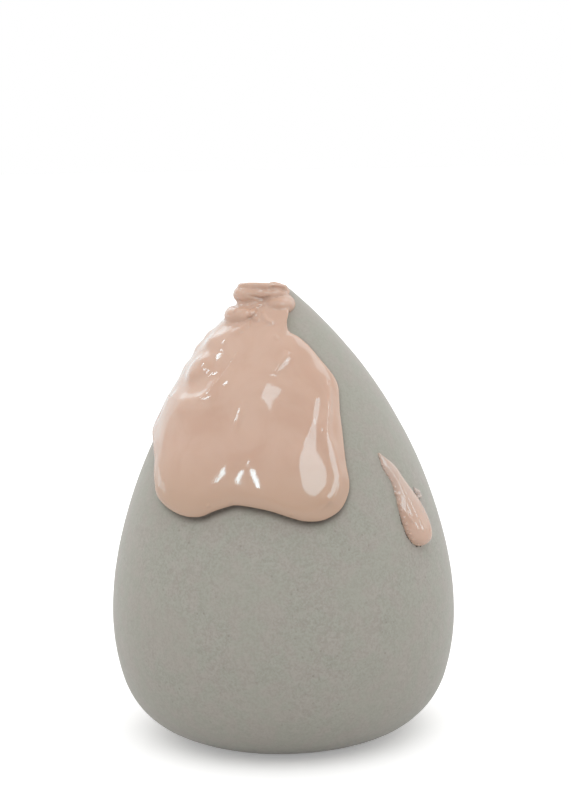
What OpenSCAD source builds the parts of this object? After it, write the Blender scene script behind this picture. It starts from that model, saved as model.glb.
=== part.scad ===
// Makeup sponge: one moulded foam body with a flat base, and the liquid foundation that lies on it.
// The frame stands on the middle of the base. +Z is up, and -Y is the side that the foundation runs down.

/* [Sponge] */
// Height of the foam body, from the flat base to the tip
sponge_h = 60; // [50:0.5:72]
// Diameter at the belly, where the body is widest
sponge_d = 46; // [39:0.5:54]
// Height of the belly above the base
belly_h = 16; // [13.5:0.5:19]
// Radius of the shoulder, the arc that rises from the belly
shoulder_r = 38; // [32:1:45]
// Angle that the shoulder turns through before the long side begins
shoulder_turn = 10; // [8:0.5:12]
// Radius of the blunt tip
tip_r = 2.4; // [2:0.1:3]
// Radius of the arc below the belly
lower_r = 28; // [24:0.5:33]
// Radius of the soft edge round the flat base
base_edge_r = 11; // [9.5:0.5:13]

/* [Folds at the tip] */
// Diameter of the heap of folds at its foot
folds_d = 8.4; // [7:0.1:9.6]
// Distance of the middle of the heap from the sponge's axis
folds_off = 2.7; // [2.2:0.1:3.1]
// Direction in which the heap sits off the axis, from the front, to the right
folds_facing = -46; // [-58:1:-34]
// Thickness of the liquid over the tip of the sponge
folds_over = 0.3; // [0.25:0.05:0.4]
// Angle that the top of the heap leans down, away from the tip
folds_tilt = 3; // [2:0.5:5]
// Distance that the wall of the heap draws in from its foot to its top
folds_taper = 0.5; // [0.4:0.05:0.6]
// Height of one fold
fold_pitch = 1.6; // [1.3:0.05:1.9]
// Depth of the groove between two folds
fold_groove = 0.45; // [0.4:0.05:0.55]
// Distance that one fold lies to the side of the next
fold_sway = 0.5; // [0.4:0.05:0.6]
// Depth of the dip in the middle of the top fold
fold_dip = 0.2; // [0.15:0.05:0.25]

/* [Pool down the front] */
// Drop from the tip of the sponge to the lowest lobe of the pool
pool_drop = 27.4; // [23:0.1:32]
// Angle that the pool wraps to each side of its middle
pool_wrap = 72; // [60:1:84]
// Direction that the middle of the pool faces, from the front, to the right
pool_facing = -33; // [-40:1:-26]
// Thickness of the pool in its middle
pool_t = 1.1; // [0.9:0.1:1.3]
// Thickness of the swollen rim at the lobes
lobe_t = 2.3; // [1.9:0.1:2.8]
// Width of the rounded rim
rim_w = 1.7; // [1.4:0.1:2]

/* [Drip and fleck] */
// Drop from the tip of the sponge to the tail of the drip
drip_drop = 20.6; // [17:0.1:24]
// Length of the drip, measured down the height
drip_len = 12.2; // [10.5:0.1:14.5]
// Width of the drip at its head
drip_w = 4.7; // [4:0.1:5.6]
// Thickness of the drip at its head
drip_t = 1.6; // [1.3:0.1:2]
// Direction of the tail of the drip, from the front, to the right
drip_facing = 45.5; // [38:0.5:52]
// Angle that the drip drifts on its way down
drip_drift = 11; // [9:0.5:13]
// Length of the fleck beside the drip
fleck_len = 2.4; // [2:0.1:2.9]
// Width of the fleck
fleck_w = 1.1; // [0.9:0.05:1.3]
// Thickness of the fleck
fleck_t = 0.5; // [0.4:0.05:0.6]
// Clear foam between the drip and the fleck
fleck_gap = 0.6; // [0.5:0.05:0.7]

/* [Hidden] */
// Film of air that keeps a liquid's faceted underside clear of the foam
seat_gap = 0.1;
// Gap between the folds and the top of the pool
seam_gap = 0.15;

// Facets of a full turn of the sponge, and the angle between the points on an arc of its outline
turn_facets = 96;
arc_step = 2.5;
// Rays of the heap of folds, and its rings over the top, down the wall and underneath
folds_rays = 54;
folds_top_rings = 6;
folds_wall_rings = 20;
folds_under_rings = 6;
// Rays of the pool, and its rings inside the rim, round the rim and underneath
pool_rays = 84;
pool_rings = 7;
pool_rim_rings = 7;
pool_under_rings = 8;
// Rows along the drip and the fleck, and points over them and back underneath
drip_rows = 20;
fleck_rows = 9;
drip_over = 10;
drip_under = 4;

// Angle that a liquid's rim turns in under itself
rim_under = 40;
// Extra thickness at the crown of the pool, as a share of its thickness
pool_crown_share = 0.12;
// The middle of the pool, where its rays start, as shares of pool_wrap and pool_drop
pool_middle_shares = [0.02, 0.56];

// Outline of the pool, clockwise from the right of its neck. Each row holds the share of pool_wrap to the
// right, the share of pool_drop down from the tip, and the share of lobe_t that the rim is thick.
pool_outline_shares = [
    [0.60, 0.06, 0.60],
    [0.61, 0.20, 0.55],
    [0.76, 0.255, 0.50],
    [0.91, 0.34, 0.50],
    [0.96, 0.44, 0.52],
    [0.90, 0.54, 0.60],
    [0.84, 0.66, 0.75],
    [0.82, 0.78, 0.90],
    [0.815, 0.88, 1.00],
    [0.75, 0.97, 1.00],
    [0.61, 1.005, 1.00],
    [0.46, 0.975, 0.96],
    [0.32, 0.94, 0.90],
    [0.20, 0.93, 0.88],
    [0.09, 0.96, 0.94],
    [-0.04, 0.995, 1.00],
    [-0.17, 0.98, 0.98],
    [-0.28, 0.92, 0.86],
    [-0.40, 0.82, 0.62],
    [-0.60, 0.74, 0.45],
    [-0.82, 0.68, 0.38],
    [-0.97, 0.56, 0.38],
    [-1.00, 0.40, 0.50],
    [-0.97, 0.27, 0.66],
    [-0.90, 0.17, 0.48],
    [-0.78, 0.08, 0.62],
    [-0.35, 0.04, 0.80],
    [0.20, 0.04, 0.70]
];

// Half width and thickness of the rows of a drip, from tail to head, as shares of its width and thickness.
// The rows crowd together towards the head.
drip_width_shares = [0.03, 0.12, 0.20, 0.31, 0.41, 0.48, 0.50, 0.45, 0.33, 0.17, 0.02];
drip_thick_shares = [0.15, 0.34, 0.50, 0.62, 0.75, 0.87, 0.97, 1.00, 0.90, 0.60, 0.25];
fleck_width_shares = [0.03, 0.28, 0.42, 0.50, 0.42, 0.24, 0.02];
fleck_thick_shares = [0.20, 0.55, 0.85, 1.00, 0.85, 0.55, 0.25];
// Place of the fleck's upper end along the drip
fleck_along_share = 0.42;
// Half width of the drip there, as a share of its width
fleck_beside_share = 0.31;

foam_grey = [0.60, 0.59, 0.55];
foundation_beige = [0.78, 0.62, 0.53];

// The sponge's outline is five arcs, each tangent to the next: base edge, lower, shoulder, side and tip.
// Each arc is [centre, radius], and its centre is [distance from the axis, height].
tip_arc = [[0, sponge_h - tip_r], tip_r];
shoulder_arc = [[sponge_d / 2 - shoulder_r, belly_h], shoulder_r];
lower_arc = [[sponge_d / 2 - lower_r, belly_h], lower_r];

shoulder_out = [cos(shoulder_turn), sin(shoulder_turn)];
side_start = shoulder_arc[0] + shoulder_r * shoulder_out;
start_to_tip = tip_arc[0] - side_start;
side_r = (start_to_tip * start_to_tip - tip_r * tip_r) / (-2 * (start_to_tip * shoulder_out + tip_r));
side_arc = [side_start - side_r * shoulder_out, side_r];
tip_turn = atan2(tip_arc[0].y - side_arc[0].y, tip_arc[0].x - side_arc[0].x);

edge_reach = sqrt(pow(lower_r - base_edge_r, 2) - pow(belly_h - base_edge_r, 2));
edge_arc = [[lower_arc[0].x + edge_reach, base_edge_r], base_edge_r];
edge_turn = atan2(belly_h - base_edge_r, edge_reach);

// Heights at which one arc gives way to the next
tip_z = tip_arc[0].y + tip_r * sin(tip_turn);
side_z = side_start.y;
edge_z = base_edge_r * (1 - sin(edge_turn));

// Points of an arc, from one angle to another
function arc_points(arc, from, to) =
    let (steps = max(1, ceil(abs(to - from) / arc_step)))
    [for (i = [0 : steps]) let (a = from + (to - from) * i / steps) arc[0] + arc[1] * [cos(a), sin(a)]];

// The arc that carries the surface at a height
function arc_at(z) =
    z > tip_z ? tip_arc :
    z > side_z ? side_arc :
    z > belly_h ? shoulder_arc :
    z > edge_z ? lower_arc : edge_arc;

// A point at a height on the sponge, turned to the right of the front, and lifted along the normal
function on_sponge(facing, z, lift) =
    let (
        arc = arc_at(z),
        rise = z - arc[0].y,
        out = sqrt(max(0, arc[1] * arc[1] - rise * rise)),
        p = [arc[0].x + out, z] + lift / arc[1] * [out, rise]
    )
    [p.x * sin(facing), -p.x * cos(facing), p.y];

// Distance from the axis to the surface at a height
function sponge_r(z) = let (p = on_sponge(0, z, 0)) -p.y;

// Value of a closed or open list at a share t of its length, along a smooth curve
function curve_at(a, b, c, d, t) =
    b + t / 2 * (c - a + t * (2 * a - 5 * b + 4 * c - d + t * (3 * (b - c) + d - a)));
function on_loop(list, t) =
    let (n = len(list), f = t * n, i = floor(f))
    curve_at(list[(i + n - 1) % n], list[i % n], list[(i + 1) % n], list[(i + 2) % n], f - i);
function on_line(list, t) =
    let (n = len(list) - 1, f = t * n, i = min(floor(f), n - 1))
    curve_at(list[max(i - 1, 0)], list[i], list[i + 1], list[min(i + 2, n)], f - i);

// A closed solid from a point, rings of points round it and a last point
module shell_of(first, rings, last) {
    n = len(rings[0]);
    m = len(rings);
    points = concat([first], [for (ring = rings) for (p = ring) p], [last]);
    polyhedron(
        points,
        concat(
            [for (k = [0 : n - 1]) [0, 1 + k, 1 + (k + 1) % n]],
            [for (j = [0 : m - 2], k = [0 : n - 1])
                let (a = 1 + j * n + k, b = 1 + j * n + (k + 1) % n)
                each [[a, a + n, b + n], [a, b + n, b]]],
            [for (k = [0 : n - 1]) [m * n + 1, 1 + (m - 1) * n + (k + 1) % n, 1 + (m - 1) * n + k]]
        )
    );
}

// The foam body, turned from its outline
module sponge_body() {
    color(foam_grey)
        rotate_extrude($fn = turn_facets)
            polygon(concat(
                [[0, 0]],
                arc_points(edge_arc, -90, -edge_turn),
                arc_points(lower_arc, -edge_turn, 0),
                arc_points(shoulder_arc, 0, shoulder_turn),
                arc_points(side_arc, shoulder_turn, tip_turn),
                arc_points(tip_arc, tip_turn, 90)
            ));
}

// Height of the sponge at a distance from its axis, anywhere on its upper side, with the seat gap added
function seat_z(distance) =
    let (
        arc = distance < tip_r * cos(tip_turn) ? tip_arc : side_arc,
        rise = sqrt(pow(arc[1], 2) - pow(distance - arc[0].x, 2))
    )
    arc[0].y + rise + seat_gap * arc[1] / rise;

// The way that the heap sits off the axis, in plan
folds_toward = [sin(folds_facing), -cos(folds_facing)];

// A place in plan, at a bearing and a distance from the middle of the heap
function folds_plan(bearing, distance) =
    folds_off * folds_toward + distance * [sin(bearing), -cos(bearing)];

// Distance from the sponge's axis to the outside of the heap and a gap beyond it
function folds_reach(facing, gap) =
    folds_off * cos(facing - folds_facing)
    + sqrt(pow(folds_d / 2 + gap, 2) - pow(folds_off * sin(facing - folds_facing), 2));

// Height of the heap's top, which leans down away from the tip
function folds_top_z(at) = sponge_h + folds_over - tan(folds_tilt) * at * folds_toward;

// How far the wall of the heap draws in, at a depth under its top. The groove between the folds climbs one
// fold in a turn, every other fold lies to one side, and the top fold is rounded over.
function folds_draw_in(bearing, depth, up) =
    let (round = fold_pitch / 2, over = max(0, 1 - depth / round))
    folds_taper * up
    + fold_sway * (1 + cos(180 * depth / fold_pitch) * sin(bearing)) / 2
    + fold_groove * (1 - abs(sin(180 * depth / fold_pitch - bearing / 2)))
    + round * (1 - sqrt(1 - over * over));

// A ring round the wall, at a share of the way up it
function folds_wall_ring(up) =
    [for (k = [0 : folds_rays - 1])
        let (
            bearing = -360 * k / folds_rays,
            foot = folds_plan(bearing, folds_d / 2),
            tall = folds_top_z(foot) - seat_z(norm(foot)),
            at = folds_plan(bearing, folds_d / 2 - folds_draw_in(bearing, tall * (1 - up), up))
        )
        [at.x, at.y, max(folds_top_z(foot) - tall * (1 - up), seat_z(norm(at)))]];

// A ring over the top, at a share of the way out from the middle
function folds_top_ring(share) =
    let (middle = folds_plan(0, 0), middle_z = folds_top_z(middle))
    [for (p = folds_wall_ring(1))
        let (at = middle + share * ([p.x, p.y] - middle))
        [at.x, at.y, middle_z + share * (p.z - middle_z) - fold_dip * (1 - share * share)]];

// A ring on the seat, at a share of the way out from the middle
function folds_under_ring(share) =
    let (middle = folds_plan(0, 0))
    [for (p = folds_wall_ring(0))
        let (at = middle + share * ([p.x, p.y] - middle))
        [at.x, at.y, seat_z(norm(at))]];

// The thread of foundation that piled up in folds where it landed, on one side of the tip
module foundation_folds() {
    middle = folds_plan(0, 0);
    color(foundation_beige)
        shell_of(
            [middle.x, middle.y, folds_top_z(middle) - fold_dip],
            concat(
                [for (j = [1 : folds_top_rings - 1]) folds_top_ring(j / folds_top_rings)],
                [for (j = [folds_wall_rings : -1 : 1]) folds_wall_ring(j / folds_wall_rings)],
                [for (j = [folds_under_rings : -1 : 1]) folds_under_ring(j / folds_under_rings)]
            ),
            [middle.x, middle.y, seat_z(norm(middle))]
        );
}

// A place on the pool as [direction, height], from its shares
function pool_place(shares) = [pool_facing + pool_wrap * shares.x, sponge_h - pool_drop * shares.y];

// A point of the pool's outline, no higher than the foot of the folds, with the thickness of the rim there
function pool_edge(t) =
    let (shares = on_loop(pool_outline_shares, t), at = pool_place(shares))
    [at.x, min(at.y, seat_z(folds_reach(at.x, seam_gap))), lobe_t * shares.z];

// A ring of the pool, at a share of the way from its middle to the outline
function pool_ring(share, turn) =
    [for (k = [0 : pool_rays - 1])
        let (
            edge = pool_edge(k / pool_rays),
            middle = pool_place(pool_middle_shares),
            arm = [edge.x - middle.x, edge.y - middle.y],
            long = norm([arm.x * PI / 180 * sponge_r(edge.y), arm.y]),
            rim = min(1 / 2, rim_w / long),
            s = share * (1 - rim * (1 - cos(turn))),
            at = [middle.x, middle.y] + s * arm,
            thick = pool_t + (edge.z - pool_t) * pow(share, 3) + pool_t * pool_crown_share * (1 - share),
            lift = thick * (sin(turn) + sin(rim_under)) / (1 + sin(rim_under))
        )
        on_sponge(at.x, at.y, seat_gap + max(0, lift))];

// The pool that ran from the folds down the front, and ended in two lobes
module foundation_pool() {
    middle = pool_place(pool_middle_shares);
    color(foundation_beige)
        shell_of(
            on_sponge(middle.x, middle.y, seat_gap + pool_t * (1 + pool_crown_share)),
            concat(
                [for (j = [1 : pool_rings]) pool_ring(j / pool_rings, 90)],
                [for (j = [1 : pool_rim_rings]) pool_ring(1, 90 - (90 + rim_under) * j / pool_rim_rings)],
                [for (j = [pool_under_rings - 1 : -1 : 1]) pool_ring(j / pool_under_rings, -rim_under)]
            ),
            on_sponge(middle.x, middle.y, seat_gap)
        );
}

// A row across a drip: over its arched outside, and back underneath along the foam
function drip_row(facing, z, half_w, thick) =
    let (side = half_w / sponge_r(z) * 180 / PI)
    concat(
        [for (k = [0 : drip_over])
            let (a = 180 * k / drip_over) on_sponge(facing + side * cos(a), z, seat_gap + thick * sin(a))],
        [for (k = [1 : drip_under - 1]) on_sponge(facing + side * (2 * k / drip_under - 1), z, seat_gap)]
    );

// A drip that starts at a place on the sponge, and drifts to the right as it runs down
module drip(rows, facing, top_z, long, drift, wide, thick, width_shares, thick_shares) {
    shell_of(
        on_sponge(facing, top_z, seat_gap),
        [for (j = [1 : rows - 1])
            let (t = sin(90 * j / rows))
            drip_row(facing + drift * (1 - pow(1 - t, 2)), top_z - long * t,
                wide * on_line(width_shares, j / rows), thick * on_line(thick_shares, j / rows))],
        on_sponge(facing + drift, top_z - long, seat_gap)
    );
}

// The single drip that ran down on the right
module foundation_drip() {
    color(foundation_beige)
        drip(drip_rows, drip_facing, sponge_h - drip_drop, drip_len, drip_drift, drip_w, drip_t,
            drip_width_shares, drip_thick_shares);
}

// The fleck that broke off on the outer side of the drip
module foundation_fleck() {
    z = sponge_h - drip_drop - drip_len * fleck_along_share;
    drifted = drip_drift * (1 - pow(1 - fleck_along_share, 2));
    beside = (drip_w * fleck_beside_share + fleck_gap + fleck_w / 2) / sponge_r(z) * 180 / PI;
    color(foundation_beige)
        drip(fleck_rows, drip_facing + drifted + beside, z, fleck_len, drip_drift * fleck_len / drip_len,
            fleck_w, fleck_t, fleck_width_shares, fleck_thick_shares);
}

sponge_body();
foundation_folds();
foundation_pool();
foundation_drip();
foundation_fleck();
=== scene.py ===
import math

import bpy
import numpy as np
from mathutils import Matrix, Vector, noise


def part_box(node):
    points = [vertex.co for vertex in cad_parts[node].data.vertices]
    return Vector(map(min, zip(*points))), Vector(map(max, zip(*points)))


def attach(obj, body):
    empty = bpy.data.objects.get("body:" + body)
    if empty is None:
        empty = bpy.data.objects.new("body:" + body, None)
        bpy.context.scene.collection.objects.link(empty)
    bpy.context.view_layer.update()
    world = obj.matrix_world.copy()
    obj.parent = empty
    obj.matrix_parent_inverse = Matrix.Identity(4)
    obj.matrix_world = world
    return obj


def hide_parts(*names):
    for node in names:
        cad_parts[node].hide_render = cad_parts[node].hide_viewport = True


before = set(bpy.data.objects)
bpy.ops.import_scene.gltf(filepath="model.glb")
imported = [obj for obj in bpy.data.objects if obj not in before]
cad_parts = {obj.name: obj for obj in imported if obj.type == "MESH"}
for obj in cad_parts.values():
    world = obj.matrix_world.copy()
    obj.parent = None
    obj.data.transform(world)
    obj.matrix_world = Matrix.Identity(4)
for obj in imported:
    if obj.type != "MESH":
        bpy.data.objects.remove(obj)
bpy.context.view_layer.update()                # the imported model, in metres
print("frame loaded")

mm = 0.001                       # one millimetre, in metres

# The foam body: five arcs that run into each other, turned about the upright axis. Lengths are in mm, and
# places are given as a bearing (0 is the front, 90 the right) and a height over the base.
spongeLow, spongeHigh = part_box("sponge_body")
foam = {
    "height": spongeHigh.z / mm,
    "width": (spongeHigh.x - spongeLow.x) / mm,
    "bellyHeight": 16,
    "shoulderRadius": 38,
    "shoulderTurn": 10,                  # degrees from the belly up to the long side
    "tipRadius": 2.4,
    "lowerRadius": 28,
    "edgeRadius": 11,                    # the rounding between the side and the flat base
    # the mesh
    "face": 0.32,                        # size of a face
    "turns": 432,                        # faces round the belly
    "still": 0.2,                        # below this height the base stays flat
    "sway": 0.10,                        # how far the moulded skin strays from the true arcs
    "swaySize": 7.0,
    "grain": 0.010,                      # depth of the grain that is cut into the mesh
    "grainSize": 0.8,
    # the colours
    "colour": (0.394, 0.378, 0.330),
    # the dark end of the grain's tone, and painted shade in the pores
    "darkToneAndPoreShade": (0.270, 0.256, 0.218),
    "paleColour": (0.455, 0.445, 0.405),
    "coolTint": (0.98, 1.0, 0.985),
    "warmTint": (1.02, 0.99, 1.0),
    "moistShadow": (0.130, 0.112, 0.094),      # along the pool's rim: moist foam and painted contact shadow under the rim
    "dampShadow": (0.300, 0.265, 0.230),       # beside the drip: damp foam with painted shadow along its margin
    "soakedShadow": (0.090, 0.075, 0.062),     # the specks in the damp foam: stained pores with painted shade in them
    # the cells: how many to a mm, and the levels between which each of them fades in
    "fineCells": 3.4,
    "coarseCells": 1.3,
    "coarseShare": 0.45,                 # share of the coarse ones in the grain
    "grainLevels": (0.33, 0.67),
    "smallPores": 1.7,
    "smallPoreLevels": (0.05, 0.20),
    "smallPoreDepth": 0.6,               # against the open ones
    "openPores": 0.62,
    "openPoreLevels": (0.05, 0.13),
    "poreDepth": 0.8,
    "patches": 0.13,                     # where the skin is thinner and more pores are open
    "patchLevels": (0.33, 0.63),
    "patchShares": (0.34, 0.5),          # pores everywhere, and what a patch adds
    "poresFadeIn": (-8, 20),             # heights over which the pores come in, and go again
    "poresFadeOut": (20, 50),
    "heightShares": (0.3, 0.7),          # pores at every height, and what those heights add
    "toneShares": (0.12, 0.34),          # how much of the grain shows everywhere, and what the pores add
    "hueCells": 0.42,
    "hueLevels": (0.38, 0.64),
    "dampShadowGrain": 0.6,                    # how much the grain breaks up the edge of the damp foam and its painted shadow
    "dampShadowLevels": (0.85, 1.25),
    "speckGrain": 1.5,
    "speckLevels": (1.42, 1.56),
    # the surface
    "roughness": 0.92,
    "gloss": 0.2,
    "sheen": 0.35,
    "sheenRoughness": 0.45,
    "bump": 0.20,
    "bumpDepth": 0.12,
    # the moist fringe of the pool, with painted contact shadow under its rim
    "fringe": 0.85,                      # how far it reaches
    "fringeFall": 1.4,                   # how fast it fades
    "fringeSamples": 600,                # places along the pool's outline
    "fringeTop": 54,                     # it ends at this height
    "fringeBelow": 1,                    # so far below the pool
    "fringeBack": 4,                     # and so far behind the middle
    "fringeFrom": 43,                    # the painted shadow grows from this height down, over the drop that follows
    "fringeDrop": 8,
}


def foamArcs():
    # the arcs from the base's edge up to the tip: centre out, centre up, radius, from angle, to angle
    half = foam["width"] / 2
    shoulder = np.array([half - foam["shoulderRadius"], foam["bellyHeight"]])
    lower = np.array([half - foam["lowerRadius"], foam["bellyHeight"]])
    tip = np.array([0, foam["height"] - foam["tipRadius"]])
    turn = math.radians(foam["shoulderTurn"])
    out = np.array([math.cos(turn), math.sin(turn)])
    sideStart = shoulder + foam["shoulderRadius"] * out
    toTip = tip - sideStart
    sideRadius = (toTip @ toTip - foam["tipRadius"] ** 2) / (-2 * (toTip @ out + foam["tipRadius"]))
    side = sideStart - sideRadius * out
    tipTurn = math.atan2(tip[1] - side[1], tip[0] - side[0])
    drop = foam["bellyHeight"] - foam["edgeRadius"]
    reach = math.sqrt((foam["lowerRadius"] - foam["edgeRadius"]) ** 2 - drop ** 2)
    edgeTurn = math.atan2(drop, reach)
    return np.array([
        [lower[0] + reach, foam["edgeRadius"], foam["edgeRadius"], -math.pi / 2, -edgeTurn],
        [lower[0], lower[1], foam["lowerRadius"], -edgeTurn, 0],
        [shoulder[0], shoulder[1], foam["shoulderRadius"], 0, turn],
        [side[0], side[1], sideRadius, turn, tipTurn],
        [tip[0], tip[1], foam["tipRadius"], tipTurn, math.pi / 2],
    ])


arcs = foamArcs()
arcStarts = (arcs[:, 1] + arcs[:, 2] * np.sin(arcs[:, 3]))[1:]      # heights where the next arc takes over


def onFoam(bearing, z, lift=0.0):
    # a place at a bearing in degrees and a height, lifted off the foam
    bearing, z, lift = (np.asarray(value, float) for value in (bearing, z, lift))
    bearing, z, lift = np.broadcast_arrays(bearing, z, lift)
    row = arcs[np.digitize(z, arcStarts)]
    rise = z - row[..., 1]
    out = np.sqrt(np.maximum(0, row[..., 2] ** 2 - rise ** 2))
    far = row[..., 0] + out + lift * out / row[..., 2]
    up = z + lift * rise / row[..., 2]
    turn = np.radians(bearing)
    return np.stack([far * np.sin(turn), -far * np.cos(turn), up], -1)


def foamRadius(z):
    return -onFoam(0, z)[..., 1]


def offFoam(points):
    # how far points stand off the foam, with the outward normal there
    far = np.hypot(points[..., 0], points[..., 1])
    best = np.full(far.shape, np.inf)
    normal = np.zeros(points.shape)
    for out, up, radius, low, high in arcs:
        angle = np.clip(np.arctan2(points[..., 2] - up, far - out), low, high)
        gapOut = far - out - radius * np.cos(angle)
        gapUp = points[..., 2] - up - radius * np.sin(angle)
        gap = gapOut * np.cos(angle) + gapUp * np.sin(angle)
        closer = np.abs(gap) < np.abs(best)
        best = np.where(closer, gap, best)
        side = points[..., :2] / np.maximum(far, 1e-6)[..., None]
        here = np.concatenate([side * np.cos(angle)[..., None], np.sin(angle)[..., None]], -1)
        normal = np.where(closer[..., None], here, normal)
    return best, normal


def smoothRow(rows, t, closed=False):
    # values at shares t along rows of numbers, on one smooth curve through them
    rows = np.asarray(rows, float)
    count = len(rows)
    place = np.asarray(t, float) * (count if closed else count - 1)
    base = np.floor(place).astype(int)
    if not closed:
        base = np.minimum(base, count - 2)
    u = (place - base)[..., None]
    pick = [(base + k) % count if closed else np.clip(base + k, 0, count - 1) for k in (-1, 0, 1, 2)]
    a, b, c, d = (rows[k] for k in pick)
    return b + u / 2 * (c - a + u * (2 * a - 5 * b + 4 * c - d + u * (3 * (b - c) + d - a)))


def meshPiece(name, points, faces, material):
    mesh = bpy.data.meshes.new(name)
    mesh.from_pydata((np.asarray(points) * mm).tolist(), [], faces)
    mesh.update()
    piece = bpy.data.objects.new(name, mesh)
    bpy.context.scene.collection.objects.link(piece)
    mesh.materials.append(material)
    for face in mesh.polygons:
        face.use_smooth = True
    return piece


def meshArrays(piece):
    # a mesh's points in mm, and their normals
    count = len(piece.data.vertices)
    points, normals = np.empty(count * 3, np.float32), np.empty(count * 3, np.float32)
    piece.data.vertices.foreach_get("co", points)
    piece.data.vertices.foreach_get("normal", normals)
    return points.reshape(-1, 3) / mm, normals.reshape(-1, 3)


def movePoints(piece, points):
    piece.data.vertices.foreach_set("co", (points * mm).astype(np.float32).ravel())
    piece.data.update()


def addLayer(piece, name, values):
    # a number at every point, for the material to read
    layer = piece.data.attributes.new(name, "FLOAT", "POINT")
    layer.data.foreach_set("value", values.astype(np.float32))


def shellFaces(rings, around, start=0):
    # a closed shell: a first point, rings of points round it, and a last point
    faces = [(start, start + 1 + (k + 1) % around, start + 1 + k) for k in range(around)]
    for j in range(rings - 1):
        low, high = start + 1 + j * around, start + 1 + (j + 1) * around
        faces += [(low + k, low + (k + 1) % around, high + (k + 1) % around, high + k)
                  for k in range(around)]
    top, last = start + 1 + (rings - 1) * around, start + 1 + rings * around
    faces += [(last, top + k, top + (k + 1) % around) for k in range(around)]
    return faces


def joinShells(shells):
    points, faces, start = [], [], 0
    for shellPoints, rings, around in shells:
        points.append(shellPoints)
        faces += shellFaces(rings, around, start)
        start += len(shellPoints)
    return np.concatenate(points), faces


class Nodes:
    # a short hand for laying out a material's nodes
    def __init__(self, tree):
        self.tree = tree
        tree.nodes.clear()

    def give(self, socket, value):
        if isinstance(value, bpy.types.NodeSocket):
            self.tree.links.new(value, socket)
        else:
            socket.default_value = value

    def add(self, kind, inputs=None, **settings):
        node = self.tree.nodes.new(kind)
        for key, value in settings.items():
            setattr(node, key, value)
        for key, value in (inputs or {}).items():
            self.give(node.inputs[key], value)
        return node

    def maths(self, operation, a, b=0.0):
        return self.add("ShaderNodeMath", {0: a, 1: b}, operation=operation).outputs[0]

    def plus(self, a, b):
        return self.maths("ADD", a, b)

    def less(self, a, b):
        return self.maths("SUBTRACT", a, b)

    def times(self, a, b):
        return self.maths("MULTIPLY", a, b)

    def larger(self, a, b):
        return self.maths("MAXIMUM", a, b)

    def band(self, value, levels):
        # 0 below the first level, 1 above the second, smooth in between
        inputs = {"Value": value, "From Min": levels[0], "From Max": levels[1]}
        return self.add("ShaderNodeMapRange", inputs, interpolation_type="SMOOTHSTEP").outputs["Result"]

    def mix(self, share, a, b, blend="MIX"):
        node = self.add("ShaderNodeMix", data_type="RGBA", blend_type=blend)
        for socket, value in ((0, share), (6, a), (7, b)):
            self.give(node.inputs[socket], value)
        return node.outputs[2]

    def placeInMm(self):
        place = self.add("ShaderNodeTexCoord").outputs["Object"]
        return self.add("ShaderNodeVectorMath", {0: place, 3: 1 / mm}, operation="SCALE").outputs["Vector"]

    def layer(self, name):
        return self.add("ShaderNodeAttribute", attribute_name=name).outputs["Fac"]

    def cloud(self, place, scale, detail=2.0, roughness=0.5, distortion=0.0):
        inputs = {"Vector": place, "Scale": scale, "Detail": detail, "Roughness": roughness,
                  "Distortion": distortion}
        return self.add("ShaderNodeTexNoise", inputs).outputs["Fac"]

    def pits(self, place, scale, levels):
        # round pits at random places, 1 in the middle of each
        cells = self.add("ShaderNodeTexVoronoi", {"Vector": place, "Scale": scale, "Randomness": 1.0})
        return self.less(1.0, self.band(cells.outputs["Distance"], levels))

    def bumped(self, height, strength, depth):
        inputs = {"Height": height, "Strength": strength, "Distance": depth * mm}
        return self.add("ShaderNodeBump", inputs).outputs["Normal"]


def rgba(colour):
    return (*colour, 1.0)


def newMaterial(name):
    material = bpy.data.materials.new(name)
    material.use_nodes = True
    return material, Nodes(material.node_tree)


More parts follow.
